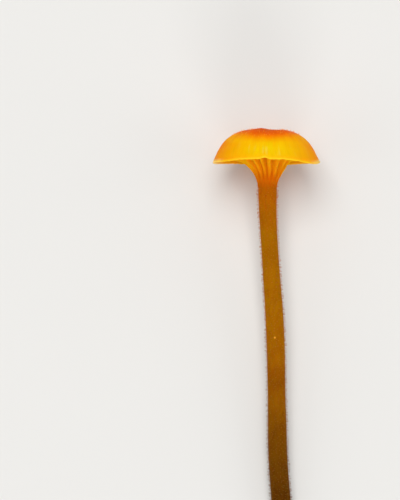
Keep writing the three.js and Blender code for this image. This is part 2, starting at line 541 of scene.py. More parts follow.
@dataclass
class Gills:
    """The underside: gills on the cap's flesh, the long ones running down onto the stem."""

    rings: int = 80
    root: Outline = Outline(
        (
            (5.331, -0.045),
            (5.06, 0.5),
            (4.45, 1.3),
            (3.7, 1.95),
            (2.9, 2.2),
            (2.2, 1.7),
            (1.84, 0.95),
            (1.6, 0.1),
            (1.38, -0.75),
            (1.18, -1.52),
            (1.06, -2.15),
            (GILL_FOOT_RADIUS, GILL_FOOT),
        )
    )
    edge: Outline = Outline(
        (
            (5.331, -0.045),
            (5.02, 0.1),
            (4.45, 0.22),
            (3.5, 0.16),
            (2.7, -0.04),
            (2.34, -0.28),
            (2.03, -0.58),
            (1.76, -0.91),
            (1.5, -1.25),
            (1.3, -1.62),
            (1.12, -2.15),
            (GILL_FOOT_RADIUS, GILL_FOOT),
        )
    )

    # A gill's half thickness, the flare of its foot and the height of its shoulders as a share
    # of the crest's, at distances from the axis.
    at_distance: tuple[float, ...] = (1.0, 1.5, 2.1, 3.0, 5.3)
    half_thickness: tuple[float, ...] = (0.13, 0.17, 0.19, 0.1, 0.05)
    foot_flare: tuple[float, ...] = (0.05, 0.06, 0.06, 0.03, 0.02)
    shoulder: tuple[float, ...] = (0.75, 0.78, 0.82, 0.9, 0.9)
    # The most of a slot's width that a gill's side and its foot stand out from its middle, and
    # the least by which the foot stands out past the side.
    side_limit: float = 0.34
    foot_limit: float = 0.45
    foot_step: float = 0.06
    # How much wider the long gills' slots grow, as a share of an even slot.
    long_growth: float = 2.2
    seed: int = 31
    height_chance: Span = (0.92, 1.0)
    start_chance: float = 0.2
    sway: float = 0.012
    sways: Ripple = Ripple(seed=33, slowest=1, fastest=9, along=0.8)
    # Where things come in or go out: (from, to), as shares of the way from the lip to the stem.
    gills_come: Span = (0.0, 0.07)
    gills_go: Span = (1.0, 0.78)
    crowding_goes: Span = (1.0, 0.93)
    thickness_comes: Span = (0.0, 0.05)
    thickness_goes: Span = (1.0, 0.95)
    # The distances from the axis between which the long gills' slots grow.
    crowding_comes: Span = (4.3, 2.3)
    # How the long gills crowd or spread: (direction in degrees, turn in degrees, width).
    spread: Rows = ((-52, -9, 18), (0, -5, 30), (55, 6, 18))

    def kinds(self) -> list[Reach]:
        """The kind of gill in each slot, from the front round to the right."""
        return [Reach.MIDDLING, Reach.SHORT, Reach.LONG, Reach.SHORT] * LONG_GILLS

    def slot_centres(self, gather: Array) -> tuple[Array, Array]:
        """Where each slot lies in each ring, and how wide it is.

        Near the margin all slots are alike. Where the short gills are gone, the long gills'
        slots take most of the round, because they keep their thickness as the ring shrinks.

        Args:
            gather: how far the long slots have grown in each ring, from 0 to 1.

        Returns:
            The slots' centres and widths, in radians, as ring by slot.
        """
        width = 2 * math.pi / SLOTS
        grow = gather[:, None]
        long_width = width * (1 + self.long_growth * grow)
        other_width = width * (1 - self.long_growth / 3 * grow)
        number = np.arange(SLOTS)
        phase = number % 4
        base = (number - phase) * width
        step = np.where(phase == 1, other_width, np.where(phase == 3, 4 * width - other_width, 0))
        step = np.where(phase == 2, 2 * width, step)
        wide = np.where(phase == 2, long_width, other_width)
        return base + step, wide

    def strengths(self, edge_out: Array) -> Array:
        """How tall each slot's gill is in each ring, as a share of the full height.

        Args:
            edge_out: the gill edge's distance from the axis in each ring.

        Returns:
            The shares, as ring by slot.
        """
        rng = np.random.default_rng(self.seed)
        columns = []
        for kind in self.kinds():
            fades, whole, tall = kind.value
            tall *= rng.uniform(*self.height_chance)
            if kind is Reach.LONG:
                columns.append(np.full(len(edge_out), tall))
            else:
                start = rng.uniform(-self.start_chance, self.start_chance)
                columns.append(tall * smooth_step(fades + start, whole + start, edge_out))
        return np.stack(columns, 1)

    def build(self) -> Grid:
        """The rings of the underside, from the lip to where the gills have run into the stem.

        Each ring has an inner and an outer point, on the outlines root and edge at the same
        place. A column lies between them by the height of its gill's section: 0 in the gaps, 1
        on the crest. Six columns draw a slot: the gap, the foot, side and crest of the gill, and
        its other side and foot. Their directions keep the gill's thickness in millimetres. At
        both ends the columns stand evenly, to meet the lip's and the stem's.

        Returns:
            The grid.
        """
        place = np.linspace(0, 1, self.rings + 1)[1:]
        root = self.root.curve(place)
        edge = self.edge.curve(place)
        blend = smooth_step(*self.gills_come, place) * smooth_step(*self.gills_go, place)
        gather = smooth_step(*self.crowding_comes, edge[:, 0])
        gather = gather * smooth_step(*self.crowding_goes, place)
        centre, width = self.slot_centres(gather)
        strength = self.strengths(edge[:, 0]) * blend[:, None]
        half = np.interp(edge[:, 0], self.at_distance, self.half_thickness)
        foot = half + np.interp(edge[:, 0], self.at_distance, self.foot_flare)
        soft = np.interp(edge[:, 0], self.at_distance, self.shoulder)[:, None]
        side = np.minimum(half[:, None] / (edge[:, :1] * width), self.side_limit)
        outer = np.maximum(root[:, :1], edge[:, :1])
        base = np.minimum(foot[:, None] / (outer * width), self.foot_limit)
        base = np.maximum(base, side + self.foot_step)
        thick = smooth_step(*self.thickness_comes, place) * smooth_step(*self.thickness_goes, place)
        even = (1 - thick)[:, None]
        side = side * (1 - even) + even / 6
        base = base * (1 - even) + even / 3
        gap = np.full_like(side, -0.5)
        offsets = np.stack([gap, -base, -side, 0 * side, side, base], -1)
        sway = self.sways.at(centre, edge[:, :1]) * self.sway * blend[:, None]
        around = (centre + sway)[..., None] + offsets * width[..., None]
        section = np.stack([0 * soft, 0 * soft, soft, soft**0, soft, 0 * soft], -1)
        tall = section * strength[..., None]
        around = around.reshape(len(place), -1)
        tall = tall.reshape(len(place), -1)
        around = around + np.radians(bells(around, self.spread)) * gather[:, None]
        line = root[:, None] + (edge - root)[:, None] * tall[..., None]
        span = Zone.STEM.value - Zone.GILLS.value
        growth = Zone.GILLS.value + span * place[:, None]
        return Grid(line[..., 0], around, line[..., 1], growth + 0 * tall, tall)


@dataclass
class Stem:
    """The long slender stem, from under the gills to its rounded foot."""

    columns: int = 108
    rings: int = 250
    # Chance relief: its size as a share of the radius, and its waves.
    fibre: float = 0.006
    fibres: Ripple = Ripple(seed=41, slowest=12, fastest=40, along=0.5, waves=16)
    swelling: float = 0.012
    swellings: Ripple = Ripple(seed=42, slowest=1, fastest=4, along=0.9)
    # Where things come in: (from, to), as shares of the stem's length.
    relief_comes: Span = (0.0, 0.04)
    crowding_comes: Span = (0.8, 1.0)
    crowding: float = 0.06
    side: Outline = Outline(
        (
            (GILL_FOOT_RADIUS, GILL_FOOT),
            (0.93, -4.4),
            (0.875, -6.5),
            (0.86, -9.5),
            (0.9, -14),
            (0.93, -19),
            (0.91, -24),
            (0.95, -28),
            (0.99, -34.6),
            (FOOT_RADIUS, FOOT_ROUNDING - STEM_LENGTH),
            (0.93, -37.9),
            (0.55, -38.45),
            (0.02, -STEM_LENGTH),
        )
    )

    def build(self, directions: Array) -> Grid:
        """The stem's rings: its outline turned, with fine lengthwise fibres and slow swellings.

        The rings stand evenly, and a little closer at the foot. Each distance from the axis is
        the outline's, times 1 plus the fibres and the swellings, which start below the gills.

        Args:
            directions: the directions of the columns, in radians.

        Returns:
            The grid, without the point on the axis.
        """
        share = np.linspace(0, 1, self.rings + 2)[1:-1]
        share = share - self.crowding * smooth_step(*self.crowding_comes, share) * (1 - share)
        line = self.side.evenly(share)
        around = np.tile(directions, (self.rings, 1))
        out = line[:, :1] + 0 * around
        height = line[:, 1:] + 0 * around
        fade = smooth_step(*self.relief_comes, share)[:, None]
        fibre = self.fibre * self.fibres.at(around, height)
        slow = self.swelling * self.swellings.at(around, height)
        out = out * (1 + fade * (fibre + slow))
        span = Zone.FOOT.value - Zone.STEM.value
        growth = Zone.STEM.value + span * (line[:, 1:] - GILL_FOOT) / (-GILL_FOOT - STEM_LENGTH)
        return Grid(out, around, height, growth + 0 * around, np.zeros_like(around))


@dataclass
class Skin:
    """The whole mushroom's surface as one closed mesh, with the attributes its finish reads."""

    growth: Growth
    lying: Lying
    cap: Cap = field(default_factory=Cap)
    gills: Gills = field(default_factory=Gills)
    stem: Stem = field(default_factory=Stem)
    foot_tip: float = -38.605

    def build(self) -> bpy.types.Object:
        """Bends, lays and joins the rings of the cap, the gills and the stem.

        Returns:
            The mesh object, at the origin.
        """
        upper = self.cap.build().stacked(self.gills.build())
        columns = upper.around.shape[1]
        merge = columns // self.stem.columns
        lower = self.stem.build(self.cap.directions()[::merge])
        zero = np.zeros((2, 1))
        heights = np.array([[NAVEL_HEIGHT], [self.foot_tip]])
        ends = np.array([[Zone.CAP.value], [Zone.FOOT.value]])
        tips = Grid(out=zero, around=zero, height=heights, growth=ends, gill=zero)
        parts = (upper, lower, tips)
        points = [self.growth.grown(g.out, g.around, g.height).reshape(-1, 3) for g in parts]
        self.lying.settle(np.concatenate(points))
        mesh = bpy.data.meshes.new("flesh")
        loops, sizes, places = self.faces(upper.out.shape, lower.out.shape)
        fill(mesh, self.lying.laid(np.concatenate(points)), loops, sizes)
        scalars = {"growth": [g.growth for g in parts], "gill": [g.gill for g in parts]}
        for name, values in scalars.items():
            add_attribute(mesh, name, np.concatenate([v.ravel() for v in values]))
        add_vectors(mesh, "grain", np.concatenate([g.grain().reshape(-1, 3) for g in parts]))
        layer = mesh.uv_layers.new(name=BAKE_MAP, do_init=False)
        layer.uv.foreach_set("vector", places.astype(np.float32).ravel())
        return piece("mushroom_skin", mesh)

    def faces(self, upper: tuple[int, int], lower: tuple[int, int]) -> tuple[Array, Array, Array]:
        """The faces between neighbouring rings, and the two fans at the axis.

        Each place in the grid and the next one along and down make a four-sided face. Between
        the gills and the stem, each group of columns runs into one by five triangles.

        Args:
            upper: rings and columns of the cap and the gills.
            lower: rings and columns of the stem.

        Returns:
            The faces' vertex numbers in one row, their sizes, and the bake's map.
        """
        top = upper[0] * upper[1]
        bottom = lower[0] * lower[1]
        navel = top + bottom
        foot = navel + 1
        cap_quads, cap_map = quads(upper, 0, (0.0, 0.0, 1.0, CAP_MAP_HEIGHT))
        stem_area = (0.0, STEM_MAP_START, 1.0, STEM_MAP_HEIGHT)
        stem_quads, stem_map = quads(lower, top, stem_area, turned=True)
        ring = np.arange(upper[1])
        fan = np.stack([np.full_like(ring, navel), ring, np.roll(ring, -1)], 1)
        last = top + bottom - lower[1]
        column = np.arange(lower[1])
        end = np.stack([np.full_like(column, foot), last + np.roll(column, -1), last + column], 1)
        start = top - upper[1]
        merge = upper[1] // lower[1]
        four = start + (column[:, None] * merge + np.arange(merge + 1)) % upper[1]
        here = top + column
        there = top + np.roll(column, -1)
        near = four[:, : merge // 2 + 1]
        far = four[:, merge // 2 :]
        joins = [(near[:, k], here, near[:, k + 1]) for k in range(merge // 2)]
        joins += [(far[:, 0], here, there)]
        joins += [(far[:, k], there, far[:, k + 1]) for k in range(merge - merge // 2)]
        seam = np.concatenate([np.stack(j, 1) for j in joins])
        triangles = np.concatenate([fan, end, seam])
        edges = self.fan_map(fan, end, seam, upper, lower, top)
        loops = np.concatenate([cap_quads.ravel(), stem_quads.ravel(), triangles.ravel()])
        sizes = np.r_[np.full(len(cap_quads) + len(stem_quads), 4), np.full(len(triangles), 3)]
        return loops, sizes, np.concatenate([cap_map, stem_map, edges])

    def fan_map(
        self,
        fan: Array,
        end: Array,
        seam: Array,
        upper: tuple[int, int],
        lower: tuple[int, int],
        top: int,
    ) -> Array:
        """The bake's map for the triangles: a thin strip each, beside the part they belong to.

        A triangle of the seam that crosses the round's end has its first columns moved up by a
        whole round.

        Args:
            fan: the navel's triangles.
            end: the foot's triangles.
            seam: the triangles between the gills and the stem.
            upper: rings and columns of the cap and the gills.
            lower: rings and columns of the stem.
            top: how many vertices the cap and the gills have.

        Returns:
            The map's places for each corner.
        """
        count = len(fan)
        share = np.arange(count) / count
        step = 1 / count
        cap = np.stack([share + step / 2, share, share + step], 1)
        low = CAP_MAP_HEIGHT / (upper[0] - 1) * 0.4
        rows = np.tile([0.0, low, low], (count, 1))
        first = np.stack([cap, rows], -1).reshape(-1, 2)
        side = np.arange(len(end)) / len(end)
        half = 1 / len(end)
        at = STEM_MAP_START + STEM_MAP_HEIGHT * np.stack([side + half / 2, side + half, side], 1)
        beyond = np.tile([1.0, MAP_FILL, MAP_FILL], (len(end), 1))
        second = np.stack([beyond, at], -1).reshape(-1, 2)
        on_gills = (seam % upper[1]) / upper[1]
        on_stem = ((seam - top) % lower[1]) / lower[1]
        column = np.where(seam < top, on_gills, on_stem)
        column = column + (column < 0.5) * (column.max(1, keepdims=True) > 0.9)
        row = np.where(seam < top, CAP_MAP_HEIGHT, SEAM_MAP_HEIGHT)
        third = np.stack([np.clip(column, 0, 1), row], -1).reshape(-1, 2)
        return np.concatenate([first, second, third])


def quads(
    shape: tuple[int, int],
    first: int,
    area: tuple[float, float, float, float],
    turned: bool = False,
) -> tuple[Array, Array]:
    """Four-sided faces of a grid that closes on itself sideways, and their places in the bake.

    Args:
        shape: the grid's rings and columns.
        first: its first vertex's number.
        area: the map's corner, width and height.
        turned: whether the columns run up the map rather than along it.

    Returns:
        The faces, one row each, and the map's places for each corner.
    """
    rings, columns = shape
    ring, column = np.meshgrid(np.arange(rings - 1), np.arange(columns), indexing="ij")
    across = (column + 1) % columns
    corners = [(ring, column), (ring + 1, column), (ring + 1, across), (ring, across)]
    faces = np.stack([first + r * columns + c for r, c in corners], -1).reshape(-1, 4)
    spots = [(ring, column), (ring + 1, column), (ring + 1, column + 1), (ring, column + 1)]
    down = np.stack([r / (rings - 1) for r, c in spots], -1).ravel()
    along = np.stack([c / columns for r, c in spots], -1).ravel()
    u, v = (down, along) if turned else (along, down)
    x, y, wide, high = area
    return faces, np.stack([x + wide * u * MAP_FILL, y + high * v * MAP_FILL], -1)


def fill(mesh: bpy.types.Mesh, points: Array, loops: Array, sizes: Array) -> None:
    """Puts points and faces into a mesh, smooth-shaded.

    Args:
        mesh: the empty mesh.
        points: the vertices' places, in metres.
        loops: the faces' vertex numbers, one face after another.
        sizes: how many vertices each face has.
    """
    mesh.vertices.add(len(points))
    mesh.vertices.foreach_set("co", np.asarray(points, np.float32).ravel())
    mesh.loops.add(len(loops))
    mesh.loops.foreach_set("vertex_index", loops.astype(np.int32))
    mesh.polygons.add(len(sizes))
    starts = np.r_[0, sizes.cumsum()[:-1]]
    mesh.polygons.foreach_set("loop_start", starts.astype(np.int32))
    mesh.update(calc_edges=True)
    mesh.shade_smooth()


def add_attribute(mesh: bpy.types.Mesh, name: str, values: Array) -> None:
    """Adds one number for each vertex, under a name that a finish reads."""
    layer = mesh.attributes.new(name, "FLOAT", "POINT")
    layer.data.foreach_set("value", values.astype(np.float32))


def add_vectors(mesh: bpy.types.Mesh, name: str, values: Array) -> None:
    """Adds three numbers for each vertex, under a name that a finish reads."""
    layer = mesh.attributes.new(name, "FLOAT_VECTOR", "POINT")
    layer.data.foreach_set("vector", values.astype(np.float32).ravel())


def piece(name: str, mesh: bpy.types.Mesh) -> bpy.types.Object:
    """A mesh as an object at the origin, in the scene."""
    made = bpy.data.objects.new(name, mesh)
    bpy.context.scene.collection.objects.link(made)
    return made


@dataclass
class Down:
    """The fine pale hairs that stand on the stem, the gill edges and, sparsely, on the cap."""

    seed: int = 8
    # Hairs to the square millimetre.
    on_stem: float = 11.0
    on_gills: float = 5.0
    on_disc: float = 5.0
    length: Span = (0.15, 0.27)
    # How big hairs on the cap and the gills are, beside those on the stem.
    disc_share: float = 0.66
    girth: Span = (0.75, 1.2)
    lean: float = 0.3
    step: Span = (0.1, 0.9)
    scatter: float = 0.3
    above_floor: float = 0.02
    sides: int = 5
    # Where on the growth scale the down comes in or goes out: (from, to).
    stem_comes: Span = (1.85, 2.0)
    stem_goes: Span = (2.995, 2.96)
    disc_comes: Span = (0.1, 0.3)
    disc_goes: Span = (0.7, 0.5)
    # Down stands on the gills above this height and this far past the lip.
    on_crest: float = 0.8
    past_lip: float = 0.1
    # A hair's outline: (share of its length, radius in millimetres).
    outline: tuple[tuple[float, float], ...] = (
        (-0.1, 0.026),
        (0.6, 0.015),
        (0.82, 0.031),
        (0.94, 0.025),
    )

    def build(self, skin: bpy.types.Object) -> bpy.types.Object:
        """Stands hairs on the skin by chance, as many to the square millimetre as each part has.

        The faces' shares, area times density, are laid end to end, and hairs start at nearly
        even steps along them, near the middle of the face they fall on. A hair follows the
        face's normal, leaning by chance. Hairs that would reach the floor are left out.

        Args:
            skin: the mushroom's skin.

        Returns:
            The mesh object of all the hairs.
        """
        rng = np.random.default_rng(self.seed)
        mesh = skin.data
        centre, normal, area = self.face_facts(mesh)
        weight = area * self.density(mesh) / MM**2
        count = int(weight.sum())
        picks = (np.arange(count) + rng.uniform(*self.step, count)) / count * weight.sum()
        chosen = np.searchsorted(weight.cumsum(), picks)
        jitter = rng.normal(0, 1, (count, 3)) * np.sqrt(area[chosen])[:, None] * self.scatter
        axis = normal[chosen] + rng.normal(0, self.lean, (count, 3))
        axis /= np.linalg.norm(axis, axis=1)[:, None]
        across = jitter - (jitter * normal[chosen]).sum(1)[:, None] * normal[chosen]
        root = centre[chosen] + across
        ground = self.read(mesh, "growth")[chosen]
        small = np.where(ground < Zone.STEM.value, self.disc_share, 1)
        length = rng.uniform(*self.length, count) * MM * small
        clear = (root + axis * length[:, None])[:, 2] > self.above_floor * MM
        girth = rng.uniform(*self.girth, count) * small
        return self.hairs(root[clear], axis[clear], length[clear], girth[clear], ground[clear])

    def face_facts(self, mesh: bpy.types.Mesh) -> tuple[Array, Array, Array]:
        """The faces' middles, normals and areas, as whole arrays.

        Args:
            mesh: the skin's mesh.

        Returns:
            The middles and the normals, one row each, and the areas.
        """
        count = len(mesh.polygons)
        centre = np.zeros(count * 3)
        normal = np.zeros(count * 3)
        area = np.zeros(count)
        mesh.polygons.foreach_get("center", centre)
        mesh.polygons.foreach_get("normal", normal)
        mesh.polygons.foreach_get("area", area)
        return centre.reshape(-1, 3), normal.reshape(-1, 3), area

    def density(self, mesh: bpy.types.Mesh) -> Array:
        """Hairs to the square millimetre on each face, from the attributes at its first corner.

        Args:
            mesh: the skin's mesh.

        Returns:
            One density for each face.
        """
        growth = self.read(mesh, "growth")
        gill = self.read(mesh, "gill")
        stem = smooth_step(*self.stem_comes, growth) * smooth_step(*self.stem_goes, growth)
        edge = (gill > self.on_crest) * (growth > Zone.GILLS.value + self.past_lip)
        disc = smooth_step(*self.disc_comes, growth) * smooth_step(*self.disc_goes, growth)
        return self.on_stem * stem + self.on_gills * edge + self.on_disc * disc

    def read(self, mesh: bpy.types.Mesh, name: str) -> Array:
        """One of the skin's numbers, at the first corner of each face.

        Args:
            mesh: the skin's mesh.
            name: the number's name.

        Returns:
            One value for each face.
        """
        starts = np.zeros(len(mesh.polygons), np.int32)
        mesh.polygons.foreach_get("loop_start", starts)
        corners = np.zeros(len(mesh.loops), np.int32)
        mesh.loops.foreach_get("vertex_index", corners)
        values = np.zeros(len(mesh.vertices), np.float32)
        mesh.attributes[name].data.foreach_get("value", values)
        return values[corners[starts]]

    def hairs(
        self, root: Array, axis: Array, length: Array, girth: Array, ground: Array
    ) -> bpy.types.Object:
        """Turns the hair's outline round each axis, and closes it with a point.

        Args:
            root: where each hair stands.
            axis: each hair's direction.
            length: each hair's length, in metres.
            girth: how thick each hair is, 1 being the outline's own radii.
            ground: the growth scale where each hair stands.

        Returns:
            The mesh object.
        """
        level, radius = np.array(self.outline).T
        off_x = np.abs(axis[:, :1]) < 0.6
        side = np.cross(axis, np.where(off_x, (1.0, 0, 0), (0, 1.0, 0)))
        side /= np.linalg.norm(side, axis=1)[:, None]
        front = np.cross(axis, side)
        turn = np.arange(self.sides) * 2 * math.pi / self.sides
        spoke = np.cos(turn)[:, None] * side[:, None] + np.sin(turn)[:, None] * front[:, None]
        middle = root[:, None] + axis[:, None] * (length[:, None] * level)[..., None]
        away = spoke[:, None] * (radius * MM)[:, None, None]
        rings = middle[:, :, None] + away * girth[:, None, None, None]
        tips = (root + axis * length[:, None])[:, None]
        points = np.concatenate([rings.reshape(len(root), -1, 3), tips], 1)
        each = points.shape[1]
        loops, sizes = self.hair_faces(len(level), each)
        base = (np.arange(len(root)) * each)[:, None]
        mesh = bpy.data.meshes.new("down")
        fill(mesh, points.reshape(-1, 3), (base + loops).ravel(), np.tile(sizes, len(root)))
        along = np.r_[np.repeat(level, self.sides), 1.0]
        add_attribute(mesh, "along", np.tile(along, len(root)))
        add_attribute(mesh, "ground", np.repeat(ground, each))
        layer = mesh.uv_layers.new(name=BAKE_MAP, do_init=False)
        across = np.r_[np.tile(turn / (2 * math.pi), len(level)), 0.5]
        spot = np.stack([across, np.clip(along, 0, 1)], 1)
        layer.uv.foreach_set("vector", np.tile(spot[loops].astype(np.float32).ravel(), len(root)))
        return piece("stem_down", mesh)

    def hair_faces(self, levels: int, each: int) -> tuple[Array, Array]:
        """One hair's faces: quads between rings, triangles to the tip, and its closed foot.

        Args:
            levels: how many rings the hair has.
            each: how many vertices the hair has.

        Returns:
            The faces' vertex numbers in one row, and their sizes.
        """
        ring, side = np.meshgrid(np.arange(levels - 1), np.arange(self.sides), indexing="ij")
        n = self.sides
        beside = (side + 1) % n
        low = ring * n
        high = low + n
        walls = np.stack([low + side, low + beside, high + beside, high + side], -1)
        last = (levels - 1) * n + np.arange(n)
        tip = np.stack([last, np.roll(last, -1), np.full(n, each - 1)], 1)
        foot = np.arange(n)[::-1]
        loops = np.concatenate([walls.ravel(), tip.ravel(), foot])
        return loops, np.r_[np.full(walls.size // 4, 4), np.full(n, 3), n]


@dataclass(frozen=True)
class Noise:
    """One smooth noise: its features to one unit, its finer octaves and their strength."""

    scale: float
    octaves: float = 3.0
    strength: float = 0.5


class Nodes:
    """A material's node tree, built by short calls."""

    def __init__(self, name: str) -> None:
        """Makes the material, with a bare Principled shader.

        Args:
            name: the material's name.
        """
        self.material = bpy.data.materials.new(name)
        self.material.use_nodes = True
        self.tree = self.material.node_tree
        self.shader = self.tree.nodes["Principled BSDF"]

    def add(self, kind: str, **settings: object) -> bpy.types.Node:
        """Adds a node.

        Args:
            kind: Blender's name of the kind of node.
            settings: the node's own settings.

        Returns:
            The node.
        """
        node = self.tree.nodes.new(kind)
        for name, value in settings.items():
            setattr(node, name, value)
        return node

    def link(self, source: Socket, target: Socket) -> None:
        """Joins an output to an input."""
        self.tree.links.new(source, target)

    def attribute(self, name: str, output: str = "Fac") -> Socket:
        """Reads a mesh attribute by name."""
        return self.add("ShaderNodeAttribute", attribute_name=name).outputs[output]

    def maths(self, operation: str, *values: object) -> Socket:
        """A Math node on sockets or plain numbers.

        Args:
            operation: Blender's name of the operation.
            values: its inputs, each a socket or a number.

        Returns:
            The answer's socket.
        """
        node = self.add("ShaderNodeMath", operation=operation)
        for socket, value in zip(node.inputs, values):
            if isinstance(value, bpy.types.NodeSocket):
                self.link(value, socket)
            else:
                socket.default_value = value
        return node.outputs[0]

    def vectors(self, operation: str, vector: Socket, fixed: Place, output: str = "Vector") -> Socket:
        """A Vector Math node on a vector and a fixed one.

        Args:
            operation: Blender's name of the operation.
            vector: the vector's socket.
            fixed: the other vector.
            output: the name of the answer that is read.

        Returns:
            The answer's socket.
        """
        node = self.add("ShaderNodeVectorMath", operation=operation)
        self.link(vector, node.inputs[0])
        node.inputs[1].default_value = fixed
        return node.outputs[output]

    def noise(self, place: Socket, kind: Noise) -> Socket:
        """Smooth noise from 0 to 1.

        Args:
            place: the coordinates it is read at.
            kind: its features and octaves.

        Returns:
            The noise's socket.
        """
        node = self.add("ShaderNodeTexNoise")
        self.link(place, node.inputs["Vector"])
        node.inputs["Scale"].default_value = kind.scale
        node.inputs["Detail"].default_value = kind.octaves
        node.inputs["Roughness"].default_value = kind.strength
        return node.outputs["Fac"]

    def parts(self, vector: Socket) -> tuple[Socket, Socket, Socket]:
        """A vector's three parts.

        Args:
            vector: the vector's socket.

        Returns:
            The sockets of its x, y and z.
        """
        node = self.add("ShaderNodeSeparateXYZ")
        self.link(vector, node.inputs[0])
        return tuple(node.outputs)

    def between(self, value: Socket, rise: Span, fall: Span) -> Socket:
        """A number that rises from 0 to 1 over one range of a value and falls over another."""
        risen = self.remap(value, rise, (0.0, 1.0))
        return self.maths("MULTIPLY", risen, self.remap(value, fall, (1.0, 0.0)))

    def remap(self, value: Socket, source: Span, target: Span) -> Socket:
        """Stretches one range of numbers onto another, clamped.

        Args:
            value: the number's socket.
            source: the range it has.
            target: the range it gets.

        Returns:
            The answer's socket.
        """
        node = self.add("ShaderNodeMapRange")
        self.link(value, node.inputs["Value"])
        for name, number in zip(("From Min", "From Max", "To Min", "To Max"), (*source, *target)):
            node.inputs[name].default_value = number
        return node.outputs["Result"]

    def ramp(self, value: Socket, stops: tuple[tuple[float, Colour], ...]) -> Socket:
        """A run of colours along a value from 0 to 1.

        Args:
            value: the place on the run.
            stops: each (place, linear colour), in order.

        Returns:
            The colour's socket.
        """
        node = self.add("ShaderNodeValToRGB")
        band = node.color_ramp
        while len(band.elements) < len(stops):
            band.elements.new(1.0)
        for element, (place, colour) in zip(band.elements, stops):
            element.position = place
            element.color = (*colour, 1.0)
        self.link(value, node.inputs["Fac"])
        return node.outputs["Color"]

    def mix(self, share: object, first: object, second: object, blend: str = "MIX") -> Socket:
        """Mixes two colours.

        Args:
            share: how much of the second shows, a socket or a number.
            first: a colour or its socket.
            second: a colour or its socket.
            blend: Blender's name of the way to mix.

        Returns:
            The mixed colour's socket.
        """
        node = self.add("ShaderNodeMix", data_type="RGBA", blend_type=blend)
        sockets = (node.inputs[0], node.inputs[6], node.inputs[7])
        for socket, value in zip(sockets, (share, first, second)):
            if isinstance(value, bpy.types.NodeSocket):
                self.link(value, socket)
            elif isinstance(value, tuple):
                socket.default_value = (*value, 1.0)
            else:
                socket.default_value = value
        return node.outputs[2]


